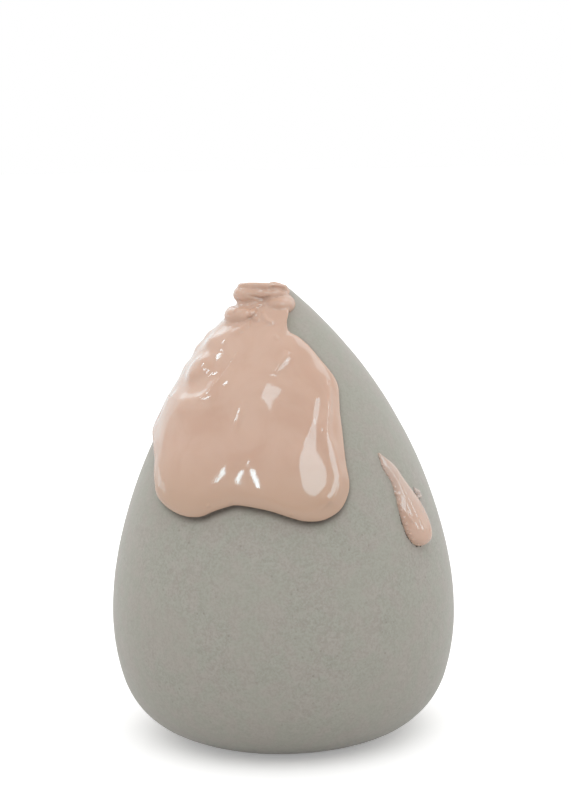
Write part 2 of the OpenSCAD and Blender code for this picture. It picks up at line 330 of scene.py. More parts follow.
def foamMaterial():
    material, lay = newMaterial("mattGreyFoam")
    place = lay.placeInMm()
    height = lay.add("ShaderNodeSeparateXYZ", {0: place}).outputs["Z"]

    # the grain of the cells, with small pores and a few open ones where the skin is thin
    fine = lay.cloud(place, foam["fineCells"], roughness=0.6)
    coarse = lay.cloud(place, foam["coarseCells"], detail=3.0, roughness=0.6, distortion=0.8)
    grain = lay.plus(lay.times(fine, 1 - foam["coarseShare"]), lay.times(coarse, foam["coarseShare"]))
    smallPores = lay.pits(place, foam["smallPores"], foam["smallPoreLevels"])
    openPores = lay.pits(place, foam["openPores"], foam["openPoreLevels"])
    pores = lay.larger(lay.times(smallPores, foam["smallPoreDepth"]), openPores)
    patches = lay.band(lay.cloud(place, foam["patches"]), foam["patchLevels"])
    patchy = lay.plus(lay.times(patches, foam["patchShares"][1]), foam["patchShares"][0])
    goneAbove = lay.less(1.0, lay.band(height, foam["poresFadeOut"]))
    low = lay.times(lay.band(height, foam["poresFadeIn"]), goneAbove)
    porous = lay.times(patchy, lay.plus(lay.times(low, foam["heightShares"][1]), foam["heightShares"][0]))
    holesAndPoreShade = lay.times(lay.times(pores, porous), foam["poreDepth"])

    # the dry colour, a little cooler here and warmer there
    tone = lay.mix(lay.band(grain, foam["grainLevels"]), rgba(foam["darkToneAndPoreShade"]), rgba(foam["paleColour"]))
    shown = lay.plus(lay.times(porous, foam["toneShares"][1]), foam["toneShares"][0])
    colour = lay.mix(shown, rgba(foam["colour"]), tone)
    hue = lay.band(lay.cloud(place, foam["hueCells"], roughness=0.6), foam["hueLevels"])
    tint = lay.mix(hue, rgba(foam["coolTint"]), rgba(foam["warmTint"]))
    colour = lay.mix(1.0, colour, tint, blend="MULTIPLY")
    # painted shade in the pores: the pits are darkened to the dark tone
    colour = lay.mix(holesAndPoreShade, colour, rgba(foam["darkToneAndPoreShade"]))

    # the wet places and painted shadow, broken up by the grain
    dampShadow = lay.layer("dampShadow")
    wetShadow = lay.band(lay.plus(dampShadow, lay.times(fine, foam["dampShadowGrain"])), foam["dampShadowLevels"])
    speck = lay.band(lay.plus(dampShadow, lay.times(fine, foam["speckGrain"])), foam["speckLevels"])
    # painted contact shadow under the pool's rim, partly moist foam
    colour = lay.mix(lay.layer("moistShadow"), colour, rgba(foam["moistShadow"]))
    # damp foam beside the drip, with painted shadow along its margin; the specks are stained pores with
    # painted shade
    colour = lay.mix(wetShadow, colour, rgba(foam["dampShadow"]))
    colour = lay.mix(speck, colour, rgba(foam["soakedShadow"]))

    shader = lay.add("ShaderNodeBsdfPrincipled", {
        "Base Color": colour, "Roughness": foam["roughness"], "Specular IOR Level": foam["gloss"],
        "Sheen Weight": foam["sheen"], "Sheen Roughness": foam["sheenRoughness"],
        "Normal": lay.bumped(lay.less(grain, holesAndPoreShade), foam["bump"], foam["bumpDepth"]),
    })
    lay.add("ShaderNodeOutputMaterial", {"Surface": shader.outputs["BSDF"]})
    return material


# The liquid foundation's look, the same on the pool, the folds, the drip and the fleck
foundation = {
    "colour": (0.640, 0.445, 0.348),
    "deepColour": (0.597, 0.393, 0.298),
    "thinColour": (0.570, 0.475, 0.425),     # where the foam shows through
    "thickShadedColour": (0.566, 0.389, 0.287),    # in the swollen lobes: thicker foundation, and painted shade lower down
    "clouds": 0.16,                          # how many to a mm
    "cloudLevels": (0.35, 0.68),
    "roughness": 0.07,
    "refraction": 1.46,
    "stray": 0.15,                           # share of the light that strays under the surface
    "strayDepth": 0.6,                       # and how deep
    "strayColours": (1.0, 0.55, 0.35),
    "skin": 0.9,                             # the faint unevenness of its skin
    "skinBump": 0.08,
    "skinDepth": 0.05,
}


def foundationMaterial():
    material, lay = newMaterial("liquidFoundation")
    place = lay.placeInMm()
    cloud = lay.cloud(place, foundation["clouds"], detail=3.0, distortion=0.6)
    colour = lay.mix(lay.band(cloud, foundation["cloudLevels"]), rgba(foundation["colour"]),
                     rgba(foundation["deepColour"]))
    colour = lay.mix(lay.layer("thin"), colour, rgba(foundation["thinColour"]))
    # the lobes darker lower down: partly thicker foundation, partly painted shade
    colour = lay.mix(lay.layer("thick"), colour, rgba(foundation["thickShadedColour"]))
    skin = lay.cloud(place, foundation["skin"])
    shader = lay.add("ShaderNodeBsdfPrincipled", {
        "Base Color": colour, "Roughness": foundation["roughness"], "IOR": foundation["refraction"],
        "Subsurface Weight": foundation["stray"], "Subsurface Radius": foundation["strayColours"],
        "Subsurface Scale": foundation["strayDepth"] * mm,
        "Normal": lay.bumped(skin, foundation["skinBump"], foundation["skinDepth"]),
    })
    lay.add("ShaderNodeOutputMaterial", {"Surface": shader.outputs["BSDF"]})
    return material


# The pool: rays from its middle to an outline on the foam, with a rounded rim that turns in under itself
pool = {
    "middle": (-31.6, 44.7),     # bearing and height of the place where the rays start
    "soft": 1.7,                 # how softly one thickness runs into the next
    "slope": 1.12,               # a step up along the foam, over the step in height
    "insideWeight": 2.0,         # how much more a thickness inside counts than one on the outline
    "least": 0.2,                # least thickness
    "rimShare": 0.5,             # the rim's rounding takes no more of a ray than this
    "rimUnder": 55,              # degrees that the rim turns in under itself
    "sunk": 0.06,                # how deep the underside sits in the foam
    "rays": 420,
    "rings": 80,
    "rimRings": 28,
    "underRings": 14,
    # the thickness inside: bearing, height, thickness
    "inside": [
        (-31.6, 44.7, 1.75), (-12, 45.5, 1.85), (6, 46.5, 1.75), (20, 47.5, 1.5), (-3, 51.0, 1.65),
        (-30, 51.5, 1.6), (-55, 48.5, 1.5), (-52, 41.5, 1.65), (-34, 39.0, 1.85), (-14, 39.5, 1.95),
        (6, 38.5, 1.95), (17, 41.0, 1.7), (-75, 46.5, 1.25), (-70, 52.5, 1.4), (-5, 36.6, 1.9),
        (-42, 35.8, 1.85), (12, 35.6, 1.95),
    ],
    # the outline, clockwise from the right of the neck: bearing, height, the rim's thickness and rounding
    "outline": [
        (14, 57.4, 1.3, 1.9), (11, 55.7, 1.3, 1.9), (10.5, 54.4, 1.2, 1.8), (19, 53.7, 1.0, 1.7),
        (26.3, 52.6, 1.0, 1.7), (31.4, 51.0, 1.0, 1.7), (36, 49.1, 1.1, 1.8), (36.6, 47.7, 1.2, 1.8),
        (33.9, 46.1, 1.25, 1.8), (31.3, 44.4, 1.3, 1.8), (28.9, 41.6, 1.4, 1.8), (27.2, 38.9, 1.55, 1.9),
        (26.6, 36.3, 1.7, 2.2), (24.6, 34.7, 1.8, 2.7), (20.6, 33.2, 1.9, 3.1), (14.3, 32.3, 1.95, 3.4),
        (8, 32.3, 1.95, 3.4), (2.9, 32.8, 1.9, 3.2), (-3.2, 33.5, 1.8, 2.9), (-9.6, 33.95, 1.75, 2.6),
        (-16.3, 34.2, 1.7, 2.5), (-20.2, 33.9, 1.75, 2.7), (-24.9, 33.3, 1.85, 3.0),
        (-30.2, 32.5, 1.95, 3.3), (-37, 32.4, 1.95, 3.4), (-44.5, 32.95, 1.85, 3.2), (-52, 34.0, 1.7, 2.7),
        (-57, 35.6, 1.5, 2.2), (-64.5, 38.2, 1.3, 1.9), (-75, 39.9, 1.15, 1.8), (-90, 41.2, 1.0, 1.7),
        (-100, 43.4, 0.95, 1.7), (-104, 46.6, 1.0, 1.7), (-105, 49.4, 1.3, 1.8), (-103, 52.4, 1.5, 1.9),
        (-99, 54.6, 1.2, 1.8), (-93, 56.4, 1.3, 1.9), (-70, 57.8, 1.5, 1.9), (-30, 58.3, 1.5, 1.9),
    ],
    # swellings: bearing, height, half size across and along, turn, rise, fullness
    "lumps": [
        (-92, 52.7, 0.7, 0.6, 0, 0.25, 1), (-93, 50.9, 0.8, 0.7, 0, 0.30, 1),
        (-92, 48.5, 0.8, 0.7, 0, 0.22, 1), (-59.5, 49.2, 1.9, 1.4, 15, 0.42, 2.0),
        (-51.0, 52.8, 1.30, 1.00, 35, 0.20, 1.5), (-66, 52.3, 0.9, 0.7, 0, 0.38, 1),
        (-38, 53.8, 0.6, 0.35, 40, 0.16, 1.3), (-42, 45.7, 0.45, 0.30, 20, 0.08, 1),
        (-46, 39.5, 2.4, 4.0, 0, 0.25, 1), (10, 35.8, 3.5, 2.2, 0, 0.12, 1),
        (-38, 35.6, 3.0, 2.2, 0, 0.14, 1),
    ],
}


def thicknessAt(bearing, z):
    # a soft average of the thicknesses given along the outline and inside it
    rows = np.array([row[:3] for row in pool["outline"]] + pool["inside"])
    weigh = np.array([1.0] * len(pool["outline"]) + [pool["insideWeight"]] * len(pool["inside"]))
    x = np.radians(bearing[:, None] - rows[:, 0]) * foamRadius(z)[:, None]
    y = (z[:, None] - rows[:, 1]) * pool["slope"]
    weigh = weigh / (x ** 2 + y ** 2 + pool["soft"] ** 2) ** 2
    return (weigh * rows[:, 2]).sum(1) / weigh.sum(1)


def lumpsAt(bearing, z):
    total = np.zeros(len(bearing))
    for lumpBearing, lumpZ, across, along, turn, rise, full in pool["lumps"]:
        x = np.radians(bearing - lumpBearing) * foamRadius(np.full(1, lumpZ))[0]
        y = (z - lumpZ) * pool["slope"]
        a = math.radians(turn)
        u, v = x * math.cos(a) + y * math.sin(a), y * math.cos(a) - x * math.sin(a)
        total += rise * np.exp(-0.5 * ((u / across) ** 2 + (v / along) ** 2) ** full)
    return total


def poolRing(share, turn):
    # one ring of the pool at a share of the way out; the turn goes from 90 on top to below 0 under the rim
    t = np.arange(pool["rays"]) / pool["rays"]
    edge = smoothRow(pool["outline"], t, closed=True)
    middle = np.array(pool["middle"])
    arm = edge[:, :2] - middle
    long = np.hypot(np.radians(arm[:, 0]) * foamRadius(edge[:, 1]), arm[:, 1])
    rim = np.minimum(pool["rimShare"], edge[:, 3] / long)
    s = share * (1 - rim * (1 - math.cos(math.radians(turn))))
    at = middle + s[:, None] * arm
    under = math.sin(math.radians(pool["rimUnder"]))
    rise = (math.sin(math.radians(turn)) + under) / (1 + under)
    above = max(0.0, rise)
    lift = thicknessAt(at[:, 0], at[:, 1]) * rise + lumpsAt(at[:, 0], at[:, 1]) * above
    return onFoam(at[:, 0], at[:, 1], np.maximum(lift, pool["least"] * above) - pool["sunk"])


def poolShell():
    under = -pool["rimUnder"]
    rings = [poolRing(j / pool["rings"], 90) for j in range(1, pool["rings"] + 1)]
    rings += [poolRing(1, 90 + (under - 90) * j / pool["rimRings"]) for j in range(1, pool["rimRings"] + 1)]
    rings += [poolRing(j / pool["underRings"], under) for j in range(pool["underRings"] - 1, 0, -1)]
    top = onFoam(*pool["middle"], pool["inside"][0][2])
    bottom = onFoam(*pool["middle"], -pool["sunk"])
    return np.concatenate([[top], *rings, [bottom]]), len(rings), pool["rays"]


# The folds: a rope of foundation coiled up beside the tip, on rolls and a core that fills them
folds = {
    "middle": (-1.95, -1.9),
    "lowest": 0.30,              # least share of the rope's thickness that stays clear of the foam
    "steps": 46,                 # steps for each turn of the rope
    "sides": 20,
    "tall": 0.92,                # height of the rope's section over its width
    # rolls that have sunk into each other: middle, half width, half depth, half thickness left, right and
    # front, and how much the roll falls to the right and to the front, in mm for each mm
    "rolls": [
        ((-3.75, -2.4, 56.40), 3.35, 3.4, 1.15, 0.80, 1.10, -0.02, 0.00),
        ((-3.30, -2.2, 55.20), 3.90, 3.6, 1.20, 0.90, 1.10, 0.02, 0.05),
        ((-2.60, -2.0, 57.70), 2.90, 2.9, 0.85, 0.80, 0.75, 0.00, 0.00),
        ((0.00, -2.35, 57.80), 2.30, 3.25, 0.60, 1.20, 1.00, 0.08, 0.03),
        ((-2.15, -1.95, 59.15), 3.75, 3.05, 1.05, 0.45, 0.92, -0.04, 0.00),
    ],
    "rollSides": 72,
    "rollSteps": 16,
    "rollFlat": 0.5,             # share of the way out where a roll's flat top and underside bend
    "rollUnder": 0.8,            # depth of the underside there, over the rim's
    "rollCrown": 1.05,           # height of the top there, over the rim's
    # the rope on top, from foot to end: bearing round the coil, distance from its middle, height, radius
    "rope": [
        (-900, 2.0, 59.3, 0.45), (-945, 2.2, 59.5, 0.46), (-980, 2.6, 59.6, 0.46), (-1005, 2.9, 59.88, 0.43),
        (-1040, 2.75, 60.22, 0.42), (-1080, 2.55, 60.38, 0.42), (-1120, 2.55, 60.38, 0.42),
        (-1165, 2.85, 60.05, 0.52), (-1215, 2.4, 59.85, 0.50), (-1260, 1.8, 59.62, 0.46),
        (-1305, 1.3, 59.62, 0.44), (-1360, 1.35, 59.75, 0.42), (-1430, 1.1, 59.70, 0.42),
        (-1500, 0.5, 59.60, 0.40),
    ],
    # the core: height, radius
    "core": [
        (53.6, 3.6), (54.6, 4.0), (55.6, 3.8), (56.8, 3.35), (58.0, 2.8), (59.0, 2.3), (59.45, 1.8),
        (59.4, 1.0),
    ],
    "coreRings": 24,
    "coreSides": 48,
}


def rollShell(middle, across, along, left, right, front, fallRight, fallFront):
    # a flat round roll with a full rounded rim
    around = folds["rollSides"]
    a = 2 * math.pi * np.arange(around) / around
    half = (left + right) / 2 - (left - right) / 2 * np.sin(a)
    half = half + (front - (left + right) / 2) * np.maximum(0, np.cos(a)) ** 2
    rings = []
    for turn in np.radians(np.linspace(-90, 90, folds["rollSteps"])):
        far = np.stack([across - half + half * math.cos(turn), along - half + half * math.cos(turn)], -1)
        rings.append((far, half * math.sin(turn)))
    lowest = (rings[0][0] * folds["rollFlat"], rings[0][1] * folds["rollUnder"])
    highest = (rings[-1][0] * folds["rollFlat"], rings[-1][1] * folds["rollCrown"])
    points = []
    for far, rise in (lowest, *rings, highest):
        x, y = far[:, 0] * np.sin(a), -far[:, 1] * np.cos(a)
        up = middle[2] + rise - fallRight * x + fallFront * y
        points.append(np.stack([middle[0] + x, middle[1] + y, up], -1))
    low, high = points[0].mean(0), points[-1].mean(0)
    return np.concatenate([[low], *points, [high]]), len(points), around


def ropeShell():
    rows = folds["rope"]
    steps = int(folds["steps"] * (rows[0][0] - rows[-1][0]) / 360)
    line = smoothRow(rows, np.linspace(0, 1, steps))
    turn, out, radius = np.radians(line[:, 0]), line[:, 1], line[:, 3]
    x, y = folds["middle"][0] + out * np.sin(turn), folds["middle"][1] - out * np.cos(turn)
    path = np.stack([x, y, line[:, 2]], -1)
    gap, normal = offFoam(path)
    path = path + normal * np.maximum(0, radius * folds["lowest"] - gap)[:, None]
    ahead = np.gradient(path, axis=0)
    ahead /= np.linalg.norm(ahead, axis=1)[:, None]
    across = np.cross(ahead, [0, 0, 1])
    across /= np.linalg.norm(across, axis=1)[:, None]
    up = np.cross(across, ahead)
    a = 2 * math.pi * np.arange(folds["sides"]) / folds["sides"]
    wide = np.cos(a)[None, :, None] * across[:, None]
    tall = folds["tall"] * np.sin(a)[None, :, None] * up[:, None]
    rings = path[:, None] + radius[:, None, None] * (wide + tall)
    first = path[0] - ahead[0] * radius[0]
    last = path[-1] + ahead[-1] * radius[-1]
    return np.concatenate([[first], rings.reshape(-1, 3), [last]]), steps, folds["sides"]


def coreShell():
    rows = smoothRow(folds["core"], np.linspace(0, 1, folds["coreRings"]))
    around = folds["coreSides"]
    a = -2 * math.pi * np.arange(around) / around
    x, y = folds["middle"]
    rings = [np.stack([x + r * np.sin(a), y - r * np.cos(a), np.full(around, z)], -1) for z, r in rows]
    return np.concatenate([[(x, y, rows[0][0])], *rings, [(x, y, rows[-1][0])]]), len(rings), around


# How the pool and the folds run together into one skin, and what lies on it
poured = {
    "voxel": 0.12,
    "relaxes": 12,               # rounds of smoothing
    "relaxShare": 0.5,
    # the neck, where the last folds have not yet run out
    "wrinkleMiddle": (-2.6, -4.6, 56.0),
    "wrinkleReach": (3.6, 3.0, 1.9),
    "wrinkleFade": 0.7,
    "wrinkleSize": 1.15,
    "wrinkleSqueeze": 1.3,       # how much closer they follow each other on the way up
    "wrinkleDepth": 0.20,
    "shade": ("thick", 34.5, 41, 1.0),      # the lobes, thicker and with painted shade: heights where it is full and where it is none, and how much
    # long ridges (rise above 0) and grooves: half width on the left and on the right of the line as it runs,
    # rise, and the line's places as bearing and height, with the shares of width and rise there
    "creases": [
        (0.60, 0.90, 0.44, [(27.4, 48.0, 0.50, 0.30), (25.0, 46.5, 0.55, 0.72), (23.0, 45.2, 0.60, 0.84),
                            (21.2, 44.0, 0.62, 0.86), (19.8, 42.5, 0.80, 0.90), (20.5, 41.0), (20.9, 39.5),
                            (21.0, 37.8), (19.6, 36.2), (17.1, 35.2)]),
        (0.80, 2.20, 0.40, [(-69.0, 45.8), (-57.0, 45.8), (-46.0, 46.2), (-38.8, 47.1), (-36.8, 48.2)]),
        (0.28, 0.28, 0.13, [(-17.4, 47.2, 1, 0), (-18.2, 45.8), (-18.7, 45.0), (-19.2, 44.2),
                            (-20.0, 42.8, 1, 0)]),
        (0.42, 0.42, 0.20, [(6.4, 52.6, 1, 0), (4.0, 51.85), (0.7, 51.1), (-2.4, 50.3, 0.6, 0.6)]),
        (0.60, 0.60, 0.13, [(17.9, 46.8, 0.7, 0.7), (14.6, 44.7), (12.0, 43.1), (9.4, 41.9), (7.6, 40.6),
                            (6.9, 39.6, 0.8, 0.5)]),
        (0.17, 0.17, -0.50, [(-38.0, 59.05, 1, 0.2), (-31.0, 58.9, 1, 0.7), (-25.0, 58.65), (-19.5, 58.7),
                             (-11.0, 59.0, 1, 0.2)]),
        (0.30, 0.30, -0.16, [(-60.0, 58.4), (-48.0, 58.0), (-38.6, 58.4)]),
        (0.22, 0.22, -0.30, [(-8.0, 60.05), (2.0, 60.0), (22.0, 59.5)]),
        (0.55, 0.55, 0.24, [(-35.0, 56.4), (-30.0, 56.6)]),
        (0.32, 0.32, 0.22, [(-32.0, 56.6), (-29.6, 56.6)]),
        (0.22, 0.22, 0.26, [(-33.5, 56.7), (-31.0, 57.2), (-28.5, 57.8)]),
        (0.15, 0.15, 0.16, [(-31.8, 56.8), (-28.0, 56.8), (-28.0, 56.3), (-24.0, 56.1)]),
        (0.20, 0.20, 0.21, [(-18.4, 56.8), (-12.8, 56.1), (-7.3, 55.8)]),
        (0.15, 0.15, 0.12, [(-29.9, 55.6), (-29.0, 55.5)]),
        (0.16, 0.16, 0.12, [(-50.6, 57.3), (-50.0, 57.2)]),
        (0.18, 0.18, 0.10, [(-2.2, 54.2), (-1.6, 54.0)]),
        (0.15, 0.15, 0.10, [(-26.5, 34.3), (-26.1, 34.4)]),
        (0.14, 0.14, 0.10, [(-18.5, 34.9), (-18.3, 35.0)]),
        (0.15, 0.15, 0.11, [(3.2, 33.7), (3.4, 33.6)]),
    ],
}


def melt(piece):
    # shells that overlap run together into one skin, which is then the piece's own mesh
    remesh = piece.modifiers.new("runTogether", "REMESH")
    remesh.mode = "VOXEL"
    remesh.voxel_size = poured["voxel"] * mm
    relax = piece.modifiers.new("relax", "SMOOTH")
    relax.factor = poured["relaxShare"]
    relax.iterations = poured["relaxes"]
    bpy.context.view_layer.update()
    drawn = bpy.data.meshes.new_from_object(piece.evaluated_get(bpy.context.evaluated_depsgraph_get()))
    old = piece.data
    piece.modifiers.clear()
    piece.data = drawn
    drawn.name = piece.name
    bpy.data.meshes.remove(old)
    drawn.shade_smooth()


def wrinkle(piece):
    points, normals = meshArrays(piece)
    away = (points - np.array(poured["wrinkleMiddle"])) / np.array(poured["wrinkleReach"])
    share = np.clip(1 - np.sum(away ** 2, 1), 0, 1) ** poured["wrinkleFade"]
    near = np.where(share > 0)[0]
    size, squeeze = poured["wrinkleSize"], poured["wrinkleSqueeze"]
    places = [Vector((x / size, y / size, z / size * squeeze)) for x, y, z in points[near].tolist()]
    push = np.array([noise.noise(place) for place in places])
    points[near] += normals[near] * (share[near] * push * poured["wrinkleDepth"])[:, None]
    movePoints(piece, points)


creasing = {
    "samples": 8,                # steps for each place of a crease's line
    "reach": 4,                  # a crease is felt this many half widths away
    "slope": 1.1,                # a step up along the skin, over the step in height
}


def crease(piece, rows):
    points, normals = meshArrays(piece)
    facing = np.degrees(np.arctan2(points[:, 0], -points[:, 1]))
    push = np.zeros(len(points))
    for left, right, rise, line in rows:
        line = [(*place, 1, 1)[:4] for place in line]
        line = smoothRow(line, np.linspace(0, 1, creasing["samples"] * len(line)))
        reach = creasing["reach"] * max(left, right)
        near = np.where((points[:, 2] > line[:, 1].min() - reach) & (points[:, 2] < line[:, 1].max() + reach)
                        & (points[:, 1] < 0))[0]
        places = np.stack([facing[near], points[near, 2]], -1)
        across = np.radians(1) * np.hypot(points[near, 0], points[near, 1])
        scale = np.stack([across, np.full(len(near), creasing["slope"])], -1)      # to mm along the skin
        best, width, share = np.full(len(near), np.inf), np.ones(len(near)), np.ones((len(near), 2))
        for here, there in zip(line, line[1:]):
            away = (places - here[:2]) * scale
            arm = (there[:2] - here[:2]) * scale
            t = np.clip((away * arm).sum(1) / (arm ** 2).sum(1), 0, 1)
            gap = np.linalg.norm(away - t[:, None] * arm, axis=1)
            side = np.where(arm[:, 0] * away[:, 1] > arm[:, 1] * away[:, 0], left, right)
            closer = gap < best
            best, width = np.where(closer, gap, best), np.where(closer, side, width)
            share = np.where(closer[:, None], here[2:] + t[:, None] * (there[2:] - here[2:]), share)
        push[near] += rise * share[:, 1] * np.exp(-0.5 * (best / (width * share[:, 0])) ** 2)
    points += normals * push[:, None]
    movePoints(piece, points)


def shadeByHeight(piece, name, full, none, most):
    # where the foundation is thin, or thick with painted shade: most at the height called full, nothing at
    # the other one
    z = meshArrays(piece)[0][:, 2]
    addLayer(piece, name, most * np.clip((z - none) / (full - none), 0, 1))


# The drip and the fleck beside it
drip = {
    "top": (47.0, 39.4),         # bearing and height of the tail
    "length": 12.2,
    "drift": 9.3,                # degrees that it drifts to the right on its way down
    "width": 4.7,
    "thickness": 1.7,
    "sunk": 0.06,
    "rows": 170,
    "over": 60,                  # faces over its back
    "beads": 0.13,               # height of the beads along its left margin
    "widthShares": [0.03, 0.24, 0.27, 0.39, 0.51, 0.56, 0.55, 0.48, 0.36, 0.19, 0.02],
    "thicknessShares": [0.15, 0.40, 0.48, 0.60, 0.75, 0.87, 0.97, 1.00, 0.90, 0.60, 0.25],
    "dampShadow": (0.38, 1.9, 0.4),    # how far the foam is damp and shadowed left and right, and how strong that is at the top
    "shade": ("thin", 38, 29, 0.55),
    "creases": [
        (0.13, 0.13, 0.08, [(48.7, 33.1), (49.2, 32.3), (50.8, 30.8)]),
        (0.20, 0.20, 0.09, [(54.1, 30.9), (54.4, 29.6)]),
        (0.14, 0.14, 0.10, [(48.8, 34.3), (49.0, 34.2)]),
    ],
}
fleck = {
    "top": (63.0, 34.2),
    "length": 1.5,
    "drift": 1.9,
    "width": 1.25,
    "thickness": 0.45,
    "sunk": 0.04,
    "rows": 40,
    "over": 28,
    "beads": 0.08,
    "widthShares": [0.03, 0.34, 0.50, 0.44, 0.50, 0.30, 0.02],
    "thicknessShares": [0.30, 0.75, 1.00, 0.80, 0.95, 0.60, 0.25],
    "dampShadow": (0.4, 0.4, 1.0),
    "shade": ("thin", 30, 28, 1.0),
}
# how both run down, with beads along the margins, where the foam has drunk them unevenly
running = {
    "fall": 2.6,                 # how soon the drift is done
    "underFaces": 6,
    "endDrop": 0.05,             # how far the last point lies below the last row
    "beadPitch": 8.3,            # how fast the beads follow each other, in radians for each mm of height
    "beadWander": 1.2,
    "wanderPitch": 1.7,
    "smallShare": 0.5,           # the smaller beads between them
    "smallPitch": 15.1,
    "smallStart": 2,
    "beadRows": [(166, 0.13, 1.0), (10, 0.10, 0.4)],     # degrees over the back, breadth, share of height
    "beadSpread": 0.7,           # how much wider a bead makes the drip
    "beadEdge": 0.02,            # no bead stands lower on the margin than this share of the thickness
}


def dripLine(spec, share):
    # bearing, height and half width at shares of the way down
    t = np.sin(share * math.pi / 2)
    half = spec["width"] * smoothRow(np.array(spec["widthShares"])[:, None], share)[:, 0]
    facing = spec["top"][0] + spec["drift"] * (1 - (1 - t) ** running["fall"])
    return facing, spec["top"][1] - spec["length"] * t, half


def beadRise(spec, z, a):
    large = np.sin(running["beadPitch"] * z + running["beadWander"] * np.sin(running["wanderPitch"] * z))
    small = running["smallShare"] * np.sin(running["smallPitch"] * z + running["smallStart"])
    margin = sum(share * np.exp(-((a - math.radians(at)) / broad) ** 2)
                 for at, broad, share in running["beadRows"])
    return spec["beads"] * np.maximum(0, large + small)[:, None] * margin


def dripShell(spec):
    share = np.arange(1, spec["rows"]) / spec["rows"]
    facing, z, half = dripLine(spec, share)
    thick = spec["thickness"] * smoothRow(np.array(spec["thicknessShares"])[:, None], share)[:, 0]
    side = np.degrees(half / foamRadius(z))
    a = math.pi * np.arange(spec["over"] + 1) / spec["over"]
    bead = beadRise(spec, z, a)
    wide = side[:, None] * np.cos(a) * (1 + running["beadSpread"] * bead / half[:, None])
    lift = thick[:, None] * np.sin(a) + bead * (np.sin(a) > running["beadEdge"])
    over = onFoam(facing[:, None] + wide, z[:, None], lift - spec["sunk"])
    u = 1 - 2 * np.arange(1, running["underFaces"]) / running["underFaces"]
    under = onFoam(facing[:, None] - side[:, None] * u, z[:, None], -spec["sunk"])
    rings = np.concatenate([over, under], 1)
    first = onFoam(*spec["top"], -spec["sunk"])
    last = onFoam(facing[-1], z[-1] - running["endDrop"], -spec["sunk"])
    return np.concatenate([[first], rings.reshape(-1, 3), [last]]), len(rings), rings.shape[1]


# The wet foam beside the drip and the fleck, darkened as damp foam and with painted shadow: damp all along
# the left margin, and at one place on the right
dampShadowing = {
    "samples": 90,
    "spread": 1.15,              # above 1 the foam is fully damp, with its painted shadow, a little way out
    "leftFrom": 0.3,             # shares of the way down: where the left margin grows damp, with painted shadow, and how fast
    "leftGrowth": 5,
    "rightLeast": 0.3,
    "rightAt": 0.38,
    "rightReach": 0.08,
}


def dampShadowAt(points):
    # how damp the foam is at each point, with its painted shadow, from 0 to 1
    dampShadow = np.zeros(len(points))
    share = np.linspace(0, 1, dampShadowing["samples"])
    half = dampShadowing["samples"] // 2
    for spec in (drip, fleck):
        reachLeft, reachRight, early = spec["dampShadow"]
        facing, z, halfWidth = dripLine(spec, share)
        side = np.degrees(halfWidth / foamRadius(z))
        near = np.where(np.linalg.norm(points - onFoam(facing[half], z[half]), axis=1) < spec["length"])[0]
        onLeft = np.clip((share - dampShadowing["leftFrom"]) * dampShadowing["leftGrowth"], early, 1)
        atPlace = np.exp(-((share - dampShadowing["rightAt"]) / dampShadowing["rightReach"]) ** 2)
        onRight = np.maximum(dampShadowing["rightLeast"] * early, atPlace)
        for turn, reach, strong in ((-1, reachLeft, onLeft), (1, reachRight, onRight)):
            line = onFoam(facing + turn * side, z)
            gaps = np.linalg.norm(points[near, None] - line[None], axis=2)
            fade = np.clip(dampShadowing["spread"] - gaps.min(axis=1) / reach, 0, 1)
            dampShadow[near] = np.maximum(dampShadow[near], fade * strong[np.argmin(gaps, axis=1)])
    return dampShadow


def moistShadowAt(points):
    # how moist the foam is along the pool's outline, with painted contact shadow, more so lower down
    edge = smoothRow(pool["outline"], np.linspace(0, 1, foam["fringeSamples"], endpoint=False), closed=True)
    line = onFoam(edge[:, 0], edge[:, 1])
    lowest = line[:, 2].min() - foam["fringeBelow"]
    near = np.where((points[:, 2] > lowest) & (points[:, 2] < foam["fringeTop"])
                    & (points[:, 1] < foam["fringeBack"]))[0]
    gaps = np.array([np.linalg.norm(line - point, axis=1).min() for point in points[near]])
    below = np.clip((foam["fringeFrom"] - points[near, 2]) / foam["fringeDrop"], 0, 1)
    moistShadow = np.zeros(len(points))
    moistShadow[near] = np.clip(1 - gaps / foam["fringe"], 0, 1) ** foam["fringeFall"] * (1 + below) / 2
    return moistShadow


def foamPoints():
    # rings of points up the outline, from the middle of the base to the tip
    outline = []
    for out, up, radius, low, high in arcs:
        steps = max(2, int(radius * (high - low) / foam["face"]))
        a = np.linspace(low, high, steps + 1)[:-1]
        outline.append(np.stack([out + radius * np.cos(a), up + radius * np.sin(a)], -1))
    flat = [[r, 0] for r in np.arange(foam["face"], outline[0][0][0], foam["face"])]
    outline = np.concatenate([flat, *outline])
    a = 2 * math.pi * np.arange(foam["turns"]) / foam["turns"]
    rings = np.stack([outline[:, None, 0] * np.sin(a), -outline[:, None, 0] * np.cos(a),
                      np.repeat(outline[:, 1:], foam["turns"], 1)], -1)
    return np.concatenate([[[0, 0, 0]], rings.reshape(-1, 3), [[0, 0, foam["height"]]]]), len(rings)


def foamPiece(material):
    points, rings = foamPoints()
    piece = meshPiece("foamSponge", points, shellFaces(rings, foam["turns"]), material)
    addLayer(piece, "dampShadow", dampShadowAt(points))
    addLayer(piece, "moistShadow", moistShadowAt(points))

    # the skin strays a little from the true arcs, and has a fine grain
    group = piece.vertex_groups.new(name="skin")
    group.add(np.where(points[:, 2] > foam["still"])[0].tolist(), 1.0, "REPLACE")
    for name, kind, size, depth in (("sway", "CLOUDS", foam["swaySize"], foam["sway"]),
                                    ("grain", "STUCCI", foam["grainSize"], foam["grain"])):
        texture = bpy.data.textures.new(name, kind)
        texture.noise_scale = size * mm
        move = piece.modifiers.new(name, "DISPLACE")
        move.texture = texture
        move.texture_coords = "LOCAL"
        move.strength = depth * mm
        move.mid_level = 0.5
        move.vertex_group = "skin"
    return piece


